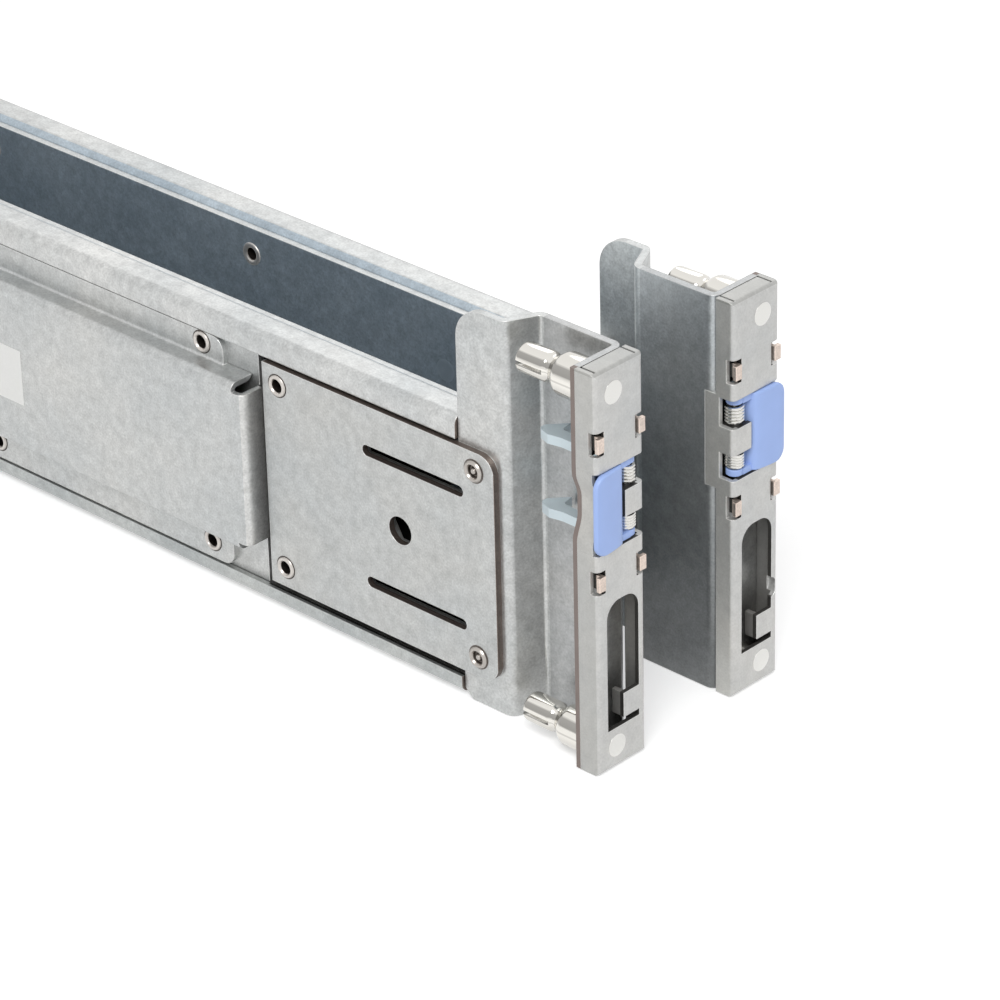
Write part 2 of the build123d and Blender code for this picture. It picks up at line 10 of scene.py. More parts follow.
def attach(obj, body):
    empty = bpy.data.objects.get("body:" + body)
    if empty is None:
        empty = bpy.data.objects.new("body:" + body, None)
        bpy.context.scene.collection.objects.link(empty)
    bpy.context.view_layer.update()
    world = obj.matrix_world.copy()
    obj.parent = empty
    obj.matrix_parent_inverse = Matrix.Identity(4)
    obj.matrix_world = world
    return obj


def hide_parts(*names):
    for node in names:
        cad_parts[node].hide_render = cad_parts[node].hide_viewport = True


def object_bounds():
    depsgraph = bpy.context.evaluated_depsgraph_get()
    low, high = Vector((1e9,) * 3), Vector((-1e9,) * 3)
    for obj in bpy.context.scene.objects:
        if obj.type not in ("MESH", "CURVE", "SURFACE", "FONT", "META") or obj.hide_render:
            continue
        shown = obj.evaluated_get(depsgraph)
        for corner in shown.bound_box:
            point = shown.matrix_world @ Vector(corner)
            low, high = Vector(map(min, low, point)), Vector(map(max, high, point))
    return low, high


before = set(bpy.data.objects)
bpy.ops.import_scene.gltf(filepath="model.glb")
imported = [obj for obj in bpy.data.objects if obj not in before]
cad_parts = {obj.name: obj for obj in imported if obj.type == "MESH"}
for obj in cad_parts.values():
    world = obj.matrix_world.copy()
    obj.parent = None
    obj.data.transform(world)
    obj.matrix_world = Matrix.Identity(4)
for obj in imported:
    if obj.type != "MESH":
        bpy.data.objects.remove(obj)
cad_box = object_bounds()
mm = 0.001

# Outer channel and support ledge of each rail: galvanised sheet steel, punched, folded on a press
# brake and riveted together. The zinc is mottled, with soft blue-grey clouds, a painted highlight
# lightens its corners, sheared edges show slightly brown steel, and zones of the sheet carry
# painted shade, a painted reflection on the faces towards the other rail and other tints.
sides = ("left", "right")
channel_grey = (0.64, 0.64, 0.625)
zinc_blue = (0.47, 0.49, 0.495)
zinc_metallic, zinc_smooth, zinc_rough = 0.74, 0.26, 0.46
cloud_size, cloud_detail, cloud_low, cloud_high = 22.0, 5.0, -0.55, 1.45
zinc_mottle, mottle_size, mottle_detail, mottle_share = 0.32, 2.2, 3.0, 0.8
grain_size, grain_detail, grain_strength, grain_depth = 0.45, 2.0, 0.2, 0.03
# painted highlight on the rounded corners: its colour, the width of the rounding and its share
corner_highlight, corner_rounding, highlight_share = (0.84, 0.84, 0.82), 0.3, 0.8
flat_turn, corner_turn = 0.99, 0.85  # cosines between a face and its rounded corner
shade_inside = (0.12, 0.115, 0.11)  # unlit faces behind covers and plates
edge_brown = (0.36, 0.29, 0.26)
web_reflection_blue = (0.80, 0.91, 1.02)  # painted reflection: a bluish darkening of the faces towards the other rail
web_shade_bottom = 0.9  # their painted shade at the bottom
middle_gap = 5.0  # those faces lie further than this from the middle of the pair
# heights over which that painted shade fades out towards the top
fade_bottom, fade_top = 10.0, 86.0


def front_of(node):
    """The X in mm of a CAD piece's front end."""
    return max(corner.co.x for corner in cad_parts[node].data.vertices) / mm


def give(node, material):
    """Puts a finish on a CAD piece, which keeps its own mesh."""
    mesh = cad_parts[node].data
    mesh.materials.clear()
    mesh.materials.append(material)


def new_material(name, colour, metallic, roughness):
    """Material with a Principled shader, whose even values are set on its own sockets."""
    material = bpy.data.materials.new(name)
    material.use_nodes = True
    shader = material.node_tree.nodes["Principled BSDF"]
    shader.inputs["Base Color"].default_value = (*colour, 1.0)
    shader.inputs["Metallic"].default_value = metallic
    shader.inputs["Roughness"].default_value = roughness
    return material, material.node_tree, shader


def output_of(tree, kind, output, inputs=None, **choices):
    """Output of a new node, after its choices, with inputs linked to patterns or set to values."""
    node = tree.nodes.new(kind)
    for name, choice in choices.items():
        setattr(node, name, choice)
    for name, value in (inputs or {}).items():
        if isinstance(value, bpy.types.NodeSocket):
            tree.links.new(value, node.inputs[name])
        elif isinstance(value, tuple):
            node.inputs[name].default_value = (*value, 1.0)
        else:
            node.inputs[name].default_value = value
    return node.outputs[output]


def ranged(tree, value, low, high, start=0.0, stop=1.0):
    """A pattern's start to stop turned into low to high."""
    limits = {"From Min": start, "From Max": stop, "To Min": low, "To Max": high}
    return output_of(tree, "ShaderNodeMapRange", "Result", {"Value": value, **limits})


def computed(tree, operation, *values):
    """A number worked out from patterns and even values."""
    inputs = dict(enumerate(values))
    return output_of(tree, "ShaderNodeMath", "Value", inputs, operation=operation)


def noise(tree, size, detail):
    """Soft clouds of about a size in millimetres."""
    place = output_of(tree, "ShaderNodeTexCoord", "Object")
    inputs = {"Vector": place, "Scale": 1.0 / (size * mm), "Detail": detail}
    return output_of(tree, "ShaderNodeTexNoise", "Fac", inputs)


def blended(tree, share, colour, other, way="MIX"):
    """One colour turning into another by a pattern from 0 to 1."""
    inputs = {"Factor": share, "A": colour, "B": other}
    return output_of(tree, "ShaderNodeMix", "Result", inputs, data_type="RGBA", blend_type=way)


def toned(tree, colour, tone):
    """A colour made lighter and darker by a pattern around 1, or by an even tint."""
    return blended(tree, 1.0, colour, tone, "MULTIPLY")


def coordinate(tree, axis):
    """A surface's place along an axis, in metres."""
    place = output_of(tree, "ShaderNodeTexCoord", "Object")
    return output_of(tree, "ShaderNodeSeparateXYZ", axis, {"Vector": place})


def facing(tree, axis):
    """How far a surface looks along an axis, from -1 to 1."""
    normal = output_of(tree, "ShaderNodeNewGeometry", "Normal")
    return output_of(tree, "ShaderNodeSeparateXYZ", axis, {"Vector": normal})


def within(tree, ranges):
    """1 inside all the ranges in mm along axes, where |X| counts both ways from the middle."""
    inside = 1.0
    for axis, low, high in ranges:
        place = coordinate(tree, axis.strip("|"))
        if axis.startswith("|"):
            place = computed(tree, "ABSOLUTE", place)
        near = computed(tree, "COMPARE", place, (low + high) / 2 * mm, (high - low) / 2 * mm)
        inside = computed(tree, "MULTIPLY", inside, near)
    return inside


def zoned(tree, colour, zones):
    """A colour tinted in zones, each a tint and the ranges that bound it."""
    for tint, *ranges in zones:
        tone = blended(tree, within(tree, ranges), (1.0, 1.0, 1.0), tint)
        colour = toned(tree, colour, tone)
    return colour


def corners(tree):
    """1 near the sheet's corners and 0 on its faces, and a normal that rounds the corners off."""
    flat = output_of(tree, "ShaderNodeNewGeometry", "Normal")
    soft = output_of(tree, "ShaderNodeBevel", "Normal", {"Radius": corner_rounding * mm}, samples=6)
    pair = {0: flat, 1: soft}
    turn = output_of(tree, "ShaderNodeVectorMath", "Value", pair, operation="DOT_PRODUCT")
    return ranged(tree, turn, 0.0, 1.0, flat_turn, corner_turn), soft


def server_side(tree):
    """1 on the faces that look towards the other rail, and 0 elsewhere."""
    towards = computed(tree, "MULTIPLY", coordinate(tree, "Y"), facing(tree, "Y"))
    return computed(tree, "LESS_THAN", towards, -middle_gap * mm)


def bumped(tree, shader, height, strength, depth, normal=None):
    """Small relief of a surface, on its own normal or on another one."""
    inputs = {"Height": height, "Strength": strength, "Distance": depth * mm}
    if normal:
        inputs["Normal"] = normal
    relief = output_of(tree, "ShaderNodeBump", "Normal", inputs)
    tree.links.new(relief, shader.inputs["Normal"])


def zinc_sheet(
    name, colour, zones, cloud=zinc_blue, mottle=zinc_mottle, metallic=zinc_metallic,
    reflection_tint=None, shade_fade=1.0,
):
    """Zinc-coated steel: grain, mottle, clouds, painted highlights on corners, painted shade and
    tints in zones.
    """
    material, tree, shader = new_material(name, colour, metallic, (zinc_smooth + zinc_rough) / 2)
    clouds = ranged(tree, noise(tree, cloud_size, cloud_detail), cloud_low, cloud_high)
    tone = blended(tree, clouds, colour, cloud)
    grain = noise(tree, grain_size, grain_detail)
    spots = noise(tree, mottle_size, mottle_detail)
    for pattern, share in ((grain, mottle), (spots, mottle * mottle_share)):
        tone = toned(tree, tone, ranged(tree, pattern, 1.0 - share, 1.0 + share))
    # painted reflection and shade on the faces towards the other rail, darker towards the bottom
    if reflection_tint:
        height = coordinate(tree, "Z")
        fade = ranged(tree, height, shade_fade, 1.0, fade_bottom * mm, fade_top * mm)
        reflected_tone = toned(tree, toned(tree, tone, fade), reflection_tint)
        tone = blended(tree, server_side(tree), tone, reflected_tone)
    corner_share, soft = corners(tree)
    # painted highlight on the corners
    tone = blended(tree, ranged(tree, corner_share, 0.0, highlight_share), tone, corner_highlight)
    tree.links.new(zoned(tree, tone, zones), shader.inputs["Base Color"])
    tree.links.new(ranged(tree, grain, zinc_smooth, zinc_rough), shader.inputs["Roughness"])
    bumped(tree, shader, grain, grain_strength, grain_depth, soft)
    return material


channel_front = front_of("left_outer_channel")
behind_plate = (("X", 213.0, 268.0), ("|Y|", 15.05, 20.95), ("Z", 2.1, 61.3))
channel_zones = (
    # a tint, and the ranges in mm that bound its zone
    (shade_inside, *behind_plate),
    (edge_brown, ("X", channel_front - 0.03, channel_front + 1.0)),  # its sheared end
    ((0.80, 0.82, 0.82), ("Z", 0.0, 6.0), ("|Y|", 20.0, 23.0)),  # its lower lip
)
channel_finish = zinc_sheet(
    "galvanised channel", channel_grey, channel_zones, reflection_tint=web_reflection_blue, shade_fade=web_shade_bottom,
)
for side in sides:
    give(f"{side}_outer_channel", channel_finish)
    give(f"{side}_support_ledge", channel_finish)

# Front ear of each rail: a blank of the same sheet, punched and folded round the rack's post. Four
# small tabs of it come through the end cover and are turned over it. Their tips look warmer.
zinc_grey = (0.575, 0.575, 0.56)
# painted reflection that lightens and blues the ear's faces towards the other rail, and the painted
# shade they fade to at the bottom
ear_reflection_blue, ear_shade_bottom = (1.25, 1.29, 1.31), 0.32
half_shade_inside = (0.52, 0.51, 0.50)  # painted half shade behind the cover's lower window, where some light falls in
ear_face, tabs_from = 303.95, 307.4
window_top = 40.0  # of the lower window
behind_cover = ("|X|", ear_face, tabs_from)
ear_zones = (
    ((0.80, 0.80, 0.81), ("|X|", 285.0, ear_face)),  # the fold round the rack's post
    (shade_inside, behind_cover, ("Z", window_top, 90.0)),
    (half_shade_inside, behind_cover, ("Z", -1.0, window_top)),
    ((1.30, 1.08, 0.96), ("|X|", tabs_from, 320.0)),  # the tips of its tabs
)
ear_finish = zinc_sheet(
    "galvanised ear", zinc_grey, ear_zones, reflection_tint=ear_reflection_blue, shade_fade=ear_shade_bottom,
)
for side in sides:
    give(f"{side}_front_ear", ear_finish)

# Front plate: a flat galvanised blank with two long slots and a hole, riveted over the ear's
# tongue. The walls of its holes and all its sheared edges but the rear one show brown steel.
plate_grey = (0.51, 0.51, 0.495)
plate_edge = 278.72
plate_zones = (
    (edge_brown, ("|X|", plate_edge, 290.0)),
    (edge_brown, ("|Y|", 21.08, 22.42), ("X", 216.0, plate_edge)),
)
plate_finish = zinc_sheet("galvanised plate", plate_grey, plate_zones)
for side in sides:
    give(f"{side}_front_plate", plate_finish)

# Rear section and its tray: the same sheet. The section slides in the channel and ends in the rear
# ear. The tray is a shallow pressed strip, riveted on by its brims, with a turned-in front end.
tray_front = front_of("left_tray")
# painted light: the turned-in front end is made lighter
tray_painted_light = (((1.22, 1.19, 1.17), ("X", tray_front - 0.9, tray_front + 1.0)),)
tray_finish = zinc_sheet("galvanised tray", zinc_grey, tray_painted_light)
for side in sides:
    give(f"{side}_rear_section", ear_finish)
    give(f"{side}_tray", tray_finish)

# Plate rivets: steel rivets with a domed head round a small recess, set from the outer side. Two
# hold the front plate's front edge on each rail.
ear_origin = Vector((304.0, -12.7, 43.2))  # where the CAD draws the left rail's front end from
crease = math.radians(32.0)
around = 40
x_axis, y_axis, z_axis = (1, 0, 0), (0, 1, 0), (0, 0, 1)
stain_size, stain_dark, stain_light = 4, 0.88, 1.10


def add(shape, other):
    """Moves one bmesh into another."""
    mesh = bpy.data.meshes.new("part")
    other.to_mesh(mesh)
    other.free()
    shape.from_mesh(mesh)
    bpy.data.meshes.remove(mesh)


def turned(shape, axis, centre, points):
    """Adds a shape turned about an axis, from (radius, distance along the axis) points."""
    along, centre = Vector(axis), Vector(centre)
    out = Vector((along.y, along.z, along.x))
    line = bmesh.new()
    places = [centre + out * radius + along * distance for radius, distance in points]
    knots = [line.verts.new(place) for place in places]
    for first, second in zip(knots, knots[1:]):
        line.edges.new((first, second))
    bmesh.ops.spin(
        line, geom=line.verts[:] + line.edges[:], cent=centre, axis=along, angle=math.tau,
        steps=around, use_merge=True,
    )
    add(shape, line)


def placed(shape, name, side, end, material):
    """An object from a shape drawn in mm at the left rail's front end, put at its own end."""
    move = Matrix.Scale(mm, 4) @ Matrix.Translation(ear_origin)
    if end == "rear":
        move = Matrix.Scale(-1.0, 4, x_axis) @ move
    if side == "right":
        move = Matrix.Scale(-1.0, 4, y_axis) @ move
    bmesh.ops.transform(shape, matrix=move, verts=shape.verts)
    bmesh.ops.remove_doubles(shape, verts=shape.verts, dist=0.01 * mm)
    bmesh.ops.recalc_face_normals(shape, faces=shape.faces)
    for face in shape.faces:
        face.smooth = True
    for edge in shape.edges:
        edge.smooth = edge.calc_face_angle(0.0) < crease
    mesh = bpy.data.meshes.new(name)
    shape.to_mesh(mesh)
    shape.free()
    mesh.materials.append(material)
    piece = bpy.data.objects.new(name, mesh)
    bpy.context.scene.collection.objects.link(piece)
    return piece


def plain_metal(name, colour, metallic, smooth, rough, grain, zones=()):
    """Bright metal with a fine grain, and stains a few grains wide."""
    material, tree, shader = new_material(name, colour, metallic, smooth)
    fine = ranged(tree, noise(tree, grain, 3.0), smooth, rough)
    tree.links.new(fine, shader.inputs["Roughness"])
    stains = noise(tree, grain * stain_size, 2.0)
    tone = toned(tree, colour, ranged(tree, stains, stain_dark, stain_light))
    tree.links.new(zoned(tree, tone, zones), shader.inputs["Base Color"])
    return material


rivet_brown = (0.46, 0.43, 0.40)
recess_shade = (0.30, 0.28, 0.27)
recess_shade_zones = ((recess_shade, ("|Y|", 18.0, 22.72)),)  # painted shade in the recess and at the foot of the head
rivet_steel = plain_metal(
    "rivet steel", rivet_brown, metallic=0.9, smooth=0.22, rough=0.40, grain=0.7,
    zones=recess_shade_zones,
)
plate_face = -9.8
plate_rows = (9.6, -31.7)
plate_front_column = -30.4
blind_head = [
    (0.0, -0.34), (0.4, -0.36), (0.7, -0.12), (0.9, 0.35), (1.2, 0.3), (1.4, -0.38),
    (1.65, -0.64), (1.95, -0.62), (2.25, -0.36), (2.35, -0.06), (2.58, -0.04), (2.58, 0.0),
    (1.3, 0.0), (1.3, 3.0), (2.0, 3.1), (1.9, 3.7), (1.2, 3.8), (0.0, 3.8),
]
for side in sides:
    shape = bmesh.new()
    for row in plate_rows:
        turned(shape, y_axis, (plate_front_column, plate_face, row), blind_head)
    rivets = placed(shape, f"{side}_plate_rivet_heads", side, "front", rivet_steel)
    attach(rivets, f"{side}_rail")
    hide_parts(f"{side}_plate_rivets")

# Hollow rivets: tubes of zinc-plated steel, each rolled over both sides of a punched hole. They
# hold the front plate's rear edge, the tray and the support ledge.
tube_bore, tube_size, tube_flange = 1.35, 2.1, 2.55
plate_rear_column = -84.0
tray_columns = (-106.5, -172.4, -304.2, -436.0, -501.9)
tray_rows = (11.55, -34.0)
ledge_row = 12.0
ledge_columns = [-127.0 - 81.0 * number for number in range(5)]
hollow_sets = (
    # CAD node, body, outer face of the sheets, depth, places
    ("plate_eyelets", "rail", plate_face, 3.0, [(plate_rear_column, row) for row in plate_rows]),
    ("tray_eyelets", "rear_section", -8.8, 2.7, [(x, z) for x in tray_columns for z in tray_rows]),
    ("ledge_rivets", "rail", -2.4, 2.7, [(x, ledge_row) for x in ledge_columns]),
)
tube_grey = (0.62, 0.585, 0.55)
bore_shade = (0.10, 0.09, 0.085)
rivet_finishes = {}
for node, body, face, depth, places in hollow_sets:
    outside = -ear_origin.y - face
    # painted shade inside the bore and at the foot of the rolled flange
    bore_shade_zones = ((bore_shade, ("|Y|", outside - depth + 0.1, outside + 0.06)),)
    rivet_finishes[node] = plain_metal(
        f"{node} zinc", tube_grey, metallic=0.8, smooth=0.24, rough=0.42, grain=0.7,
        zones=bore_shade_zones,
    )


def hollow_rivet(depth):
    """Points of a tube through some depth of sheet, with its ends rolled over both sides."""
    return [
        (tube_bore, depth - 0.1), (tube_bore, 0.1), (1.45, -0.2), (1.65, -0.42), (1.9, -0.46),
        (2.2, -0.32), (2.32, -0.06), (tube_flange, -0.04), (tube_flange, 0.0), (tube_size, 0.0),
        (tube_size, depth), (tube_flange, depth), (2.45, depth + 0.2), (tube_size, depth + 0.35),
        (1.7, depth + 0.3), (1.42, depth + 0.1), (tube_bore, depth - 0.1),
    ]


for side in sides:
    for node, body, face, depth, places in hollow_sets:
        shape = bmesh.new()
        for x, z in places:
            turned(shape, y_axis, (x, face, z), hollow_rivet(depth))
        rivets = placed(shape, f"{side}_{node}_flanged", side, "front", rivet_finishes[node])
        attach(rivets, f"{side}_{body}")
        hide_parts(f"{side}_{node}")

# Label: a blank white paper label, stuck on the left rail's tray. Its fibres give the paper a
# slight tone and relief.
label_white = (0.86, 0.86, 0.84)
fibre_size = 0.8
paper, tree, shader = new_material("label paper", label_white, metallic=0.0, roughness=0.6)
fibre = noise(tree, fibre_size, 4.0)
paper_tone = toned(tree, label_white, ranged(tree, fibre, 0.97, 1.03))
tree.links.new(paper_tone, shader.inputs["Base Color"])
bumped(tree, shader, fibre, strength=0.1, depth=0.02)
give("left_label", paper)

# End cover: a smooth zinc-plated steel pressing over each latch, with a window for the button and
# its springs, and another one near its lower end. The ear's four tabs hold it.
cover_grey = (0.61, 0.60, 0.575)
cover_cloud = (0.50, 0.51, 0.51)
cover_mottle, cover_metallic = 0.16, 0.45
outer_shade = (0.84, 0.84, 0.83)
cover_inside = (("|X|", 300.0, 307.62), ("|Y|", 13.68, 25.12))
window_walls = (("|X|", 307.62, 308.5), ("|Y|", 14.4, 24.4), ("Z", 4.0, 82.4))
cover_zones = (
    (shade_inside, *cover_inside, ("Z", window_top, 85.36)),
    (half_shade_inside, *cover_inside, ("Z", 1.04, window_top)),
    (shade_inside, *window_walls),
    (outer_shade, ("|Y|", 26.0, 27.0)),  # its outer side
    ((0.95, 0.95, 0.93), ("|Y|", 12.0, 12.78)),  # painted shade on its inner side
    ((0.80, 0.80, 0.79), ("Z", 85.9, 87.0)),  # painted shade on its top
)
cover_finish = zinc_sheet(
    "zinc-plated pressing", cover_grey, cover_zones, cover_cloud, cover_mottle, cover_metallic,
)
ends = [(side, end) for side in sides for end in ("front", "rear")]
bodies_of_ends = {
    (side, end): f"{side}_rail" if end == "front" else f"{side}_rear_section"
    for side, end in ends
}
for side, end in ends:
    give(f"{side}_{end}_cover", cover_finish)

# Dipped flange and ear rim: behind the button's outer edge, the side of the cover and the ear's
# edge dip inwards, so that a fingertip gets under the button. The flange is the cover's plated
# sheet, and the rim is the ear's sheared edge, which shows brown steel.
dip_top, dip_high, dip_low, dip_bottom = 21.6, 15.8, 12.3, 6.5
dip_start, dip_length, dip_steps = 4.4, 18.6, 40
side_face, dip_face = -13.38, -11.92
hook_clear = -11.68  # the opened hook plate reaches to -11.63
flange_back, flange_front, flange_sheet = -0.4, 3.55, 0.9
rim_back, rim_front, rim_inside = -1.48, flange_back, -10.0
ear_end, end_gap = 43.2, 0.02
flange_zones = ((outer_shade, ("|Y|", 23.0, 27.0)),)
flange_finish = zinc_sheet(
    "zinc-plated flange", cover_grey, flange_zones, cover_cloud, cover_mottle, cover_metallic,
)
rim_brown = (0.22, 0.18, 0.165)
rim_finish = plain_metal(
    "sheared steel", rim_brown, metallic=0.6, smooth=0.35, rough=0.55, grain=1.0,
)


def lofted(sections):
    """A closed shape through sections of as many points each, with a cap at both ends."""
    shape = bmesh.new()
    outlines = []
    for section in sections:
        ring = [shape.verts.new(point) for point in section]
        outlines.append([shape.edges.new(pair) for pair in zip(ring, ring[1:] + ring[:1])])
    for outline, after in zip(outlines, outlines[1:]):
        bmesh.ops.bridge_loops(shape, edges=outline + after)
    for outline in (outlines[0], outlines[-1]):
        bmesh.ops.edgeloop_fill(shape, edges=outline)
    return shape


def dipped(height):
    """Y of the side's outer face at a height."""
    falling = (dip_top - height) / (dip_top - dip_high)
    rising = (height - dip_bottom) / (dip_low - dip_bottom)
    share = max(0.0, min(1.0, falling, rising))
    return side_face + (dip_face - side_face) * (0.5 - 0.5 * math.cos(math.pi * share))


def side_strip(height, back_x, front_x, thickness=None):
    """Section of a strip along the side at a height, some thickness or down to the rim's inside."""
    outer = dipped(height)
    inner = min(outer + thickness, hook_clear) if thickness else rim_inside
    places = ((back_x, outer), (front_x, outer), (front_x, inner), (back_x, inner))
    return [(x, y, height) for x, y in places]


dip_heights = [dip_start + dip_length * step / dip_steps for step in range(dip_steps + 1)]
rim_heights = [-ear_end + end_gap, *dip_heights, ear_end - end_gap]
for side, end in ends:
    sections = [side_strip(z, flange_back, flange_front, flange_sheet) for z in dip_heights]
    flange = placed(lofted(sections), f"{side}_{end}_dipped_flange", side, end, flange_finish)
    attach(flange, bodies_of_ends[side, end])
    sections = [side_strip(z, rim_back, rim_front) for z in rim_heights]
    rim = placed(lofted(sections), f"{side}_{end}_ear_rim", side, end, rim_finish)
    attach(rim, bodies_of_ends[side, end])

# Hook plate: two barbed hooks on a carrier, in steel sheet plated with blue-white zinc. It turns
# with the button, and its barbs catch the rack's post.
hook_blue = (0.60, 0.69, 0.73)
hook_finish = plain_metal(
    "blue-white zinc", hook_blue, metallic=0.4, smooth=0.30, rough=0.45, grain=2.0,
)
for side, end in ends:
    give(f"{side}_{end}_latch_hook", hook_finish)

# Button: a moulded plastic pull tab with a convex face and rounded outer corners. Two knuckles
# at its inner edge run on the hinge pin, one at each end.
button_blue = (0.37, 0.51, 0.90)
button_low, button_high = 5.25, 22.15
button_corner, button_edge = 2.6, 0.3  # radii of its outer corners and of its face's edge
corner_from, corner_to = 8.0, 14.28  # the corners draw in from the first distance to the second
face_from = 2.0  # in front of this X the face's edge is rounded
pin_place = (2.4, -2.9)
knuckle_bore, knuckle_size, knuckle_length, knuckle_edge = 1.0, 1.72, 1.4, 0.15
arm_gap = 0.02
button_steps = [0.0, 0.08, 0.2, 0.35, 0.7, 1.1, 1.6, 2.1, 2.6]  # closer towards its ends
button_plan = [
    # x, y of a section from its inner back edge round the face to its outer back edge
    (1.4, -5.55), (2.7, -5.55), (3.5, -5.7), (4.4, -6.05), (4.85, -6.5), (5.1, -7.4),
    (5.32, -9.0), (5.48, -10.8), (5.57, -12.4), (5.57, -13.3), (5.45, -13.9), (5.15, -14.2),
    (4.8, -14.25), (4.5, -14.1), (4.3, -13.6), (4.1, -12.4), (3.9, -10.4), (3.7, -9.8),
    (1.4, -9.6),
]
arm_plan = [(1.45, -4.2), (2.4, -4.0), (3.6, -4.1), (4.1, -3.4), (4.12, -6.2), (1.45, -6.2)]
knuckle_outline = [
    (knuckle_bore, 0.0), (knuckle_size - knuckle_edge, 0.0), (knuckle_size, knuckle_edge),
    (knuckle_size, knuckle_length - knuckle_edge), (knuckle_size - knuckle_edge, knuckle_length),
    (knuckle_bore, knuckle_length), (knuckle_bore, 0.0),
]
plastic_grain, plastic_clouds = 0.35, 5.0
plastic, tree, shader = new_material("blue plastic", button_blue, metallic=0.0, roughness=0.42)
fine = noise(tree, plastic_grain, 4.0)
soft_tone = ranged(tree, noise(tree, plastic_clouds, 2.0), 0.95, 1.05)
tree.links.new(toned(tree, button_blue, soft_tone), shader.inputs["Base Color"])
tree.links.new(ranged(tree, fine, 0.34, 0.50), shader.inputs["Roughness"])
bumped(tree, shader, fine, strength=0.12, depth=0.02)


def drawn_in(distance, radius):
    """How far a rounded corner lies inside its straight sides, at a distance from its end."""
    short = radius - min(distance, radius)
    return radius - math.sqrt(radius ** 2 - short ** 2)


def button_section(height):
    """The button's section at a height: its outer edge and face draw in near the ends."""
    distance = min(height - button_low, button_high - height)
    corner, edge = drawn_in(distance, button_corner), drawn_in(distance, button_edge)
    section = []
    for x, y in button_plan:
        reach = max(0.0, (-y - corner_from) / (corner_to - corner_from))
        section.append((x - (edge if x > face_from else 0.0), y + corner * reach, height))
    return section


button_heights = [button_low + step for step in button_steps]
button_heights += [button_high - step for step in reversed(button_steps)]
for side, end in ends:
    shape = lofted([button_section(height) for height in button_heights])
    for start in (button_low, button_high - knuckle_length):
        turned(shape, z_axis, (*pin_place, start), knuckle_outline)
        arm_ends = (start + arm_gap, start + knuckle_length - arm_gap)
        add(shape, lofted([[(x, y, z) for x, y in arm_plan] for z in arm_ends]))
    button = placed(shape, f"{side}_{end}_pull_tab", side, end, plastic)
    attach(button, f"{side}_{end}_latch")
    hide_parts(f"{side}_{end}_release_button")

# Springs: two torsion springs of bright wire, wound closely round the pin on each side of the
# cover's lug. Each has a short leg at both ends, and they push the latch shut.
wire = 0.36
wire_sides = 8
coil_size, coil_pitch = 1.62, 2.15 * wire
coil_steps, coil_start = 18, -1.9  # steps in each turn, and the angle of the first one
leg_steps = ((0.3, -0.2), (0.6, -0.35))
spring_spans = ((6.8, 10.45), (16.35, 20.6))
spring_grey = (0.74, 0.73, 0.70)
spring_steel = plain_metal(
    "spring steel", spring_grey, metallic=1.0, smooth=0.14, rough=0.26, grain=0.5,
)


def wire_along(points, size):
    """A round wire along a line of points."""
    rings = []
    points = [Vector(point) for point in points]
    angles = [math.tau * number / wire_sides for number in range(wire_sides)]
    for index, point in enumerate(points):
        before, after = points[max(index - 1, 0)], points[min(index + 1, len(points) - 1)]
        ahead = (after - before).normalized()
        aside = ahead.cross(Vector(z_axis)).normalized()
        third = aside.cross(ahead)
        rings.append([point + (aside * math.cos(a) + third * math.sin(a)) * size for a in angles])
    return lofted(rings)


def spring_leg(place):
    """A short, straight leg from an end of the coil."""
    x, y, z = place
    return [(x + out, y + aside, z) for out, aside in leg_steps]


def spring_line(low, high, way):
    """The middle line of a close coil from low to high, with a leg at each end."""
    turns = round((high - low) / coil_pitch)
    count = turns * coil_steps
    coil = []
    for number in range(count + 1):
        angle = math.tau * turns * number / count + coil_start
        x = pin_place[0] + coil_size * math.cos(angle)
        y = pin_place[1] + coil_size * math.sin(angle)
        coil.append((x, y, low + wire + (high - low - 2 * wire) * number / count))
    line = spring_leg(coil[0])[::-1] + coil + spring_leg(coil[-1])
    return line if way > 0 else [(x, y, low + high - z) for x, y, z in line]


for side, end in ends:
    shape = bmesh.new()
    for (low, high), way in zip(spring_spans, (1, -1)):
        add(shape, wire_along(spring_line(low, high, way), wire))
    springs = placed(shape, f"{side}_{end}_coil_springs", side, end, spring_steel)
    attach(springs, bodies_of_ends[side, end])
    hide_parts(f"{side}_{end}_latch_springs")

# Hinge pin: a plain steel pin through the cover's lug, the springs and the button's knuckles,
# with a low round head at each end.
pin_low, pin_high = 4.65, 22.75
pin_length = pin_high - pin_low
pin_size, pin_head = 0.8, 1.05
pin_outline = [
    (0.0, 0.0), (pin_size, 0.0), (pin_head, 0.15), (pin_head, 0.45), (pin_size, 0.5),
    (pin_size, pin_length - 0.5), (pin_head, pin_length - 0.45), (pin_head, pin_length - 0.15),
    (pin_size, pin_length), (0.0, pin_length),
]
for side, end in ends:
    shape = bmesh.new()
    turned(shape, z_axis, (*pin_place, pin_low), pin_outline)
    pin = placed(shape, f"{side}_{end}_round_pin", side, end, spring_steel)
    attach(pin, bodies_of_ends[side, end])
    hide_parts(f"{side}_{end}_hinge_pin")

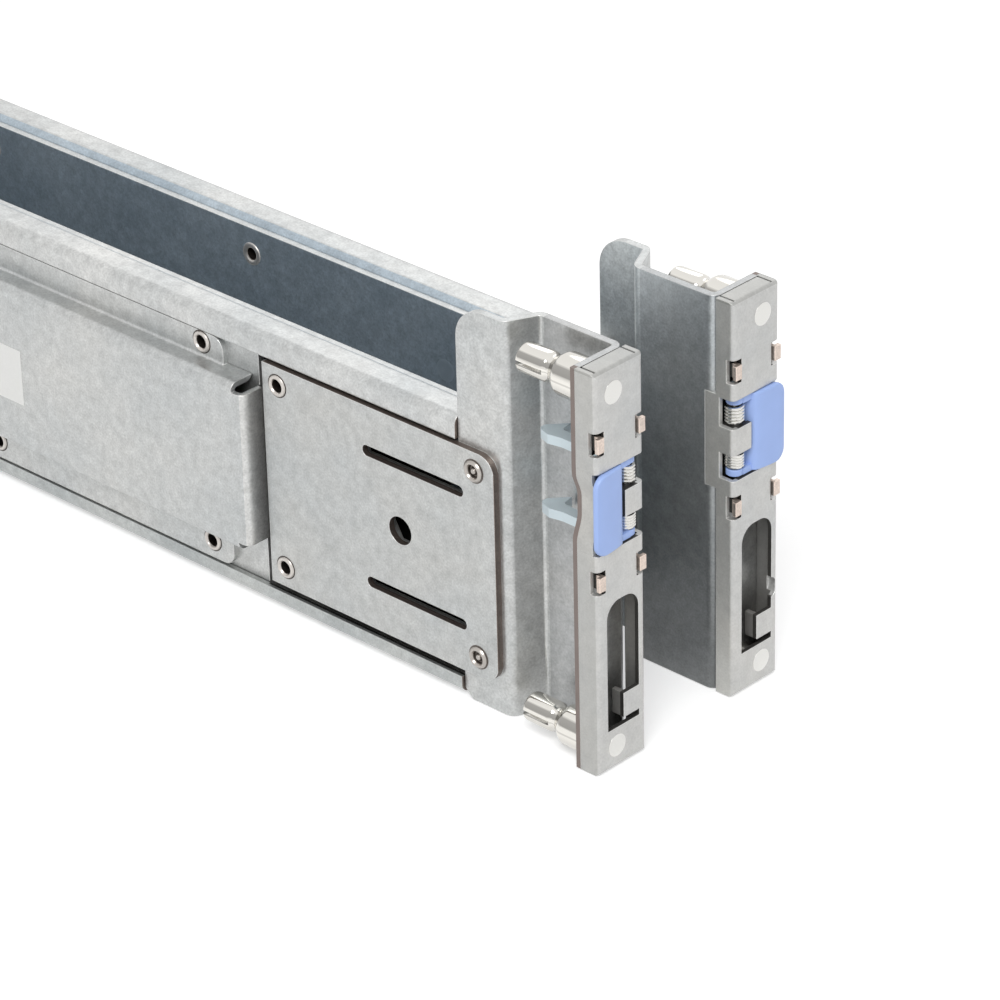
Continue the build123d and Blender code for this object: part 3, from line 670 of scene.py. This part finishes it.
# Studs: turned steel, nickel plated. The base fits the rack's hole, the waisted tip is split by a
# slot, and the other end is riveted over in the cover's face, where it is duller.
stud_heights = (38.1, -38.1)
stud_place = -8.4
stud_bases = {"front": 4.4, "rear": 4.2}
slot_width, slot_depth = 0.9, 9.0
slot_from, slot_to = -18.5, -10.7
nickel_grey = (0.78, 0.77, 0.74)
nickel_tone = (0.80, 0.79, 0.76)
head_grey = (0.68, 0.675, 0.65)
stud_reflection_bands = (
    # how far up a surface faces, from 0 down to 1 up, and its tone: painted reflection bands along
    # the bar
    (0.0, 0.62), (0.34, 0.80), (0.49, 1.0), (0.525, 0.66), (0.56, 1.0), (0.66, 0.95),
    (0.70, 0.42), (0.84, 0.48), (0.88, 1.0), (1.0, 0.95),
)
head_zone = ("|X|", 305.0, 320.0)
wave_size = 1.5
nickel, tree, shader = new_material("bright nickel", nickel_grey, metallic=1.0, roughness=0.1)
bands = tree.nodes.new("ShaderNodeValToRGB")
while len(bands.color_ramp.elements) < len(stud_reflection_bands):
    bands.color_ramp.elements.new(0.5)
for element, (position, tone) in zip(bands.color_ramp.elements, stud_reflection_bands):
    element.position = position
    element.color = (tone, tone * 0.985, tone * 0.96, 1.0)
# painted reflection: light and dark bands by how far up the surface faces
tree.links.new(ranged(tree, facing(tree, "Z"), 0.0, 1.0, -1.0), bands.inputs["Fac"])
banded = toned(tree, nickel_tone, bands.outputs["Color"])
heads = within(tree, [head_zone])
tree.links.new(blended(tree, heads, banded, head_grey), shader.inputs["Base Color"])
waves = noise(tree, wave_size, 3.0)
tree.links.new(ranged(tree, waves, 0.06, 0.14), shader.inputs["Roughness"])


def stud_outline(base):
    """Radius and X of a stud's outline, from its face in the cover to its tip."""
    return [
        (0.0, 4.7), (2.2, 4.7), (2.38, 4.64), (2.42, 4.5), (2.2, 4.4), (2.2, -1.5), (base, -1.5),
        (base, -6.6), (base - 0.2, -7.2),
        (3.7, -8.0), (3.1, -8.7), (2.75, -9.2), (2.6, -9.8), (2.68, -10.2), (2.95, -10.6),
        (3.1, -11.1), (3.1, -16.8), (2.98, -17.25), (2.7, -17.55), (2.2, -17.7), (0.0, -17.7),
    ]


def slotted(piece, cutter):
    """Cuts a shape out of a piece for good."""
    cut = piece.modifiers.new("slot", "BOOLEAN")
    cut.object = cutter
    cut.solver = "EXACT"
    evaluated = piece.evaluated_get(bpy.context.evaluated_depsgraph_get())
    mesh = bpy.data.meshes.new_from_object(evaluated)
    piece.modifiers.clear()
    piece.data = mesh
    bpy.data.objects.remove(cutter)


for side, end in ends:
    shape, slots = bmesh.new(), bmesh.new()
    for height in stud_heights:
        turned(shape, x_axis, (0.0, stud_place, height), stud_outline(stud_bases[end]))
        block = bmesh.ops.create_cube(slots, size=1.0)["verts"]
        bmesh.ops.scale(slots, vec=(slot_to - slot_from, slot_depth, slot_width), verts=block)
        middle = ((slot_from + slot_to) / 2, stud_place, height)
        bmesh.ops.translate(slots, vec=middle, verts=block)
    studs = placed(shape, f"{side}_{end}_turned_studs", side, end, nickel)
    slotted(studs, placed(slots, "slot_cutter", side, end, nickel))
    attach(studs, bodies_of_ends[side, end])
    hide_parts(f"{side}_{end}_studs")

# Shoulder rivets: stepped steel rivets with a blue zinc finish, whose tone is partly a painted
# reflection:
# it is darkened to match the painted reflection on the faces towards the other rail. Four of them
# on each rail keep the channel and the ledge behind the ear's tongue.
shoulder_places = ((-42.4, -3.8), (-42.4, -18.2), (-71.6, 3.6), (-71.6, -25.6))
shank, shoulder = 1.72, 3.0
shoulder_outline = [
    (0.0, -8.3), (shank, -8.3), (shank, -6.8), (shoulder, -6.8), (shoulder, -2.4),
    (shank, -2.4), (shank, 0.2), (2.5, 0.29), (2.4, 0.32), (1.8, 0.36), (0.0, 0.38),
]
shoulder_shaded_blue = (0.43, 0.50, 0.555)
shoulder_finish = plain_metal(
    "upset zinc", shoulder_shaded_blue, zinc_metallic, zinc_smooth, zinc_rough, grain=grain_size,
)
for side in sides:
    shape = bmesh.new()
    for x, z in shoulder_places:
        turned(shape, y_axis, (x, 0.0, z), shoulder_outline)
    rivets = placed(shape, f"{side}_stepped_rivets", side, "front", shoulder_finish)
    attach(rivets, f"{side}_rail")
    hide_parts(f"{side}_shoulder_rivets")

# Studio: a wide, pale floor just under the pair, a white room and two round lamps. The floor and
# the room look white to the eye, but throw less light on the metal.
floor_size = 8.0
floor_gap = 0.2
floor_tone = 0.80
floor_glow = 0.42
room_light = 0.52
lit_place = Vector((0.25, 0.0, 0.05))
lamps = (
    # name, place in metres, size in metres, watts
    ("key light", (1.0, -0.95, 1.45), 0.9, 18.0),
    ("fill light", (-0.6, 1.2, 1.2), 1.2, 3.0),
)


def seen_directly(tree):
    """1 for rays from the camera, a reflection or glass, and 0 for the light that falls."""
    seen = 0.0
    for kind in ("Is Camera Ray", "Is Glossy Ray", "Is Transmission Ray"):
        seen = computed(tree, "MAXIMUM", seen, output_of(tree, "ShaderNodeLightPath", kind))
    return seen


floor_material = bpy.data.materials.new("floor")
floor_material.use_nodes = True
tree = floor_material.node_tree
tree.nodes.clear()
matt = output_of(tree, "ShaderNodeBsdfDiffuse", "BSDF", {"Color": (floor_tone,) * 3})
glow = ranged(tree, seen_directly(tree), 0.0, floor_glow)
glowing = output_of(tree, "ShaderNodeEmission", "Emission", {"Strength": glow})
surface = output_of(tree, "ShaderNodeAddShader", "Shader", {0: matt, 1: glowing})
tree.links.new(surface, tree.nodes.new("ShaderNodeOutputMaterial").inputs["Surface"])

shape = bmesh.new()
bmesh.ops.create_grid(shape, x_segments=1, y_segments=1, size=floor_size / 2)
floor_mesh = bpy.data.meshes.new("floor")
shape.to_mesh(floor_mesh)
shape.free()
floor_mesh.materials.append(floor_material)
floor = bpy.data.objects.new("floor", floor_mesh)
bpy.context.scene.collection.objects.link(floor)
floor.location.z = cad_box[0][2] - floor_gap * mm

world = bpy.data.worlds.new("room")
world.use_nodes = True
bpy.context.scene.world = world
tree = world.node_tree
room = tree.nodes["Background"]
room.inputs["Color"].default_value = (1.0, 1.0, 1.0, 1.0)
tree.links.new(ranged(tree, seen_directly(tree), room_light, 1.0), room.inputs["Strength"])

for name, place, size, power in lamps:
    lamp_data = bpy.data.lights.new(name, "AREA")
    lamp_data.shape = "DISK"
    lamp_data.size = size
    lamp_data.energy = power
    lamp = bpy.data.objects.new(name, lamp_data)
    bpy.context.scene.collection.objects.link(lamp)
    lamp.location = place
    lamp.rotation_euler = (lit_place - Vector(place)).to_track_quat("-Z", "Y").to_euler()

bpy.context.scene.view_settings.view_transform = "Standard"

# The view is the photograph's, from the front right of the pair and above. The pair runs off
# the left edge of the picture.
view_azimuth = math.radians(44.0)
view_elevation = math.radians(28.92)
view_roll = math.radians(-1.43)
view_distance = 908.0
view_right = -24.0
view_up = 9.0
focal_pixels = 4800.0
picture_pixels = 1000.0

back = Vector((
    math.sin(view_azimuth) * math.cos(view_elevation),
    -math.cos(view_azimuth) * math.cos(view_elevation),
    math.sin(view_elevation),
))
level = Vector((math.cos(view_azimuth), math.sin(view_azimuth), 0.0))
right = Matrix.Rotation(view_roll, 3, back) @ level
up = back.cross(right)
camera_data = bpy.data.cameras.new("camera")
camera_data.sensor_width = 36.0
camera_data.lens = camera_data.sensor_width * focal_pixels / picture_pixels
camera = bpy.data.objects.new("camera", camera_data)
bpy.context.scene.collection.objects.link(camera)
turn = Matrix((right, up, back)).transposed().to_4x4()
eye = (ear_origin + right * view_right + up * view_up + back * view_distance) * mm
camera.matrix_world = Matrix.Translation(eye) @ turn
bpy.context.scene.camera = camera
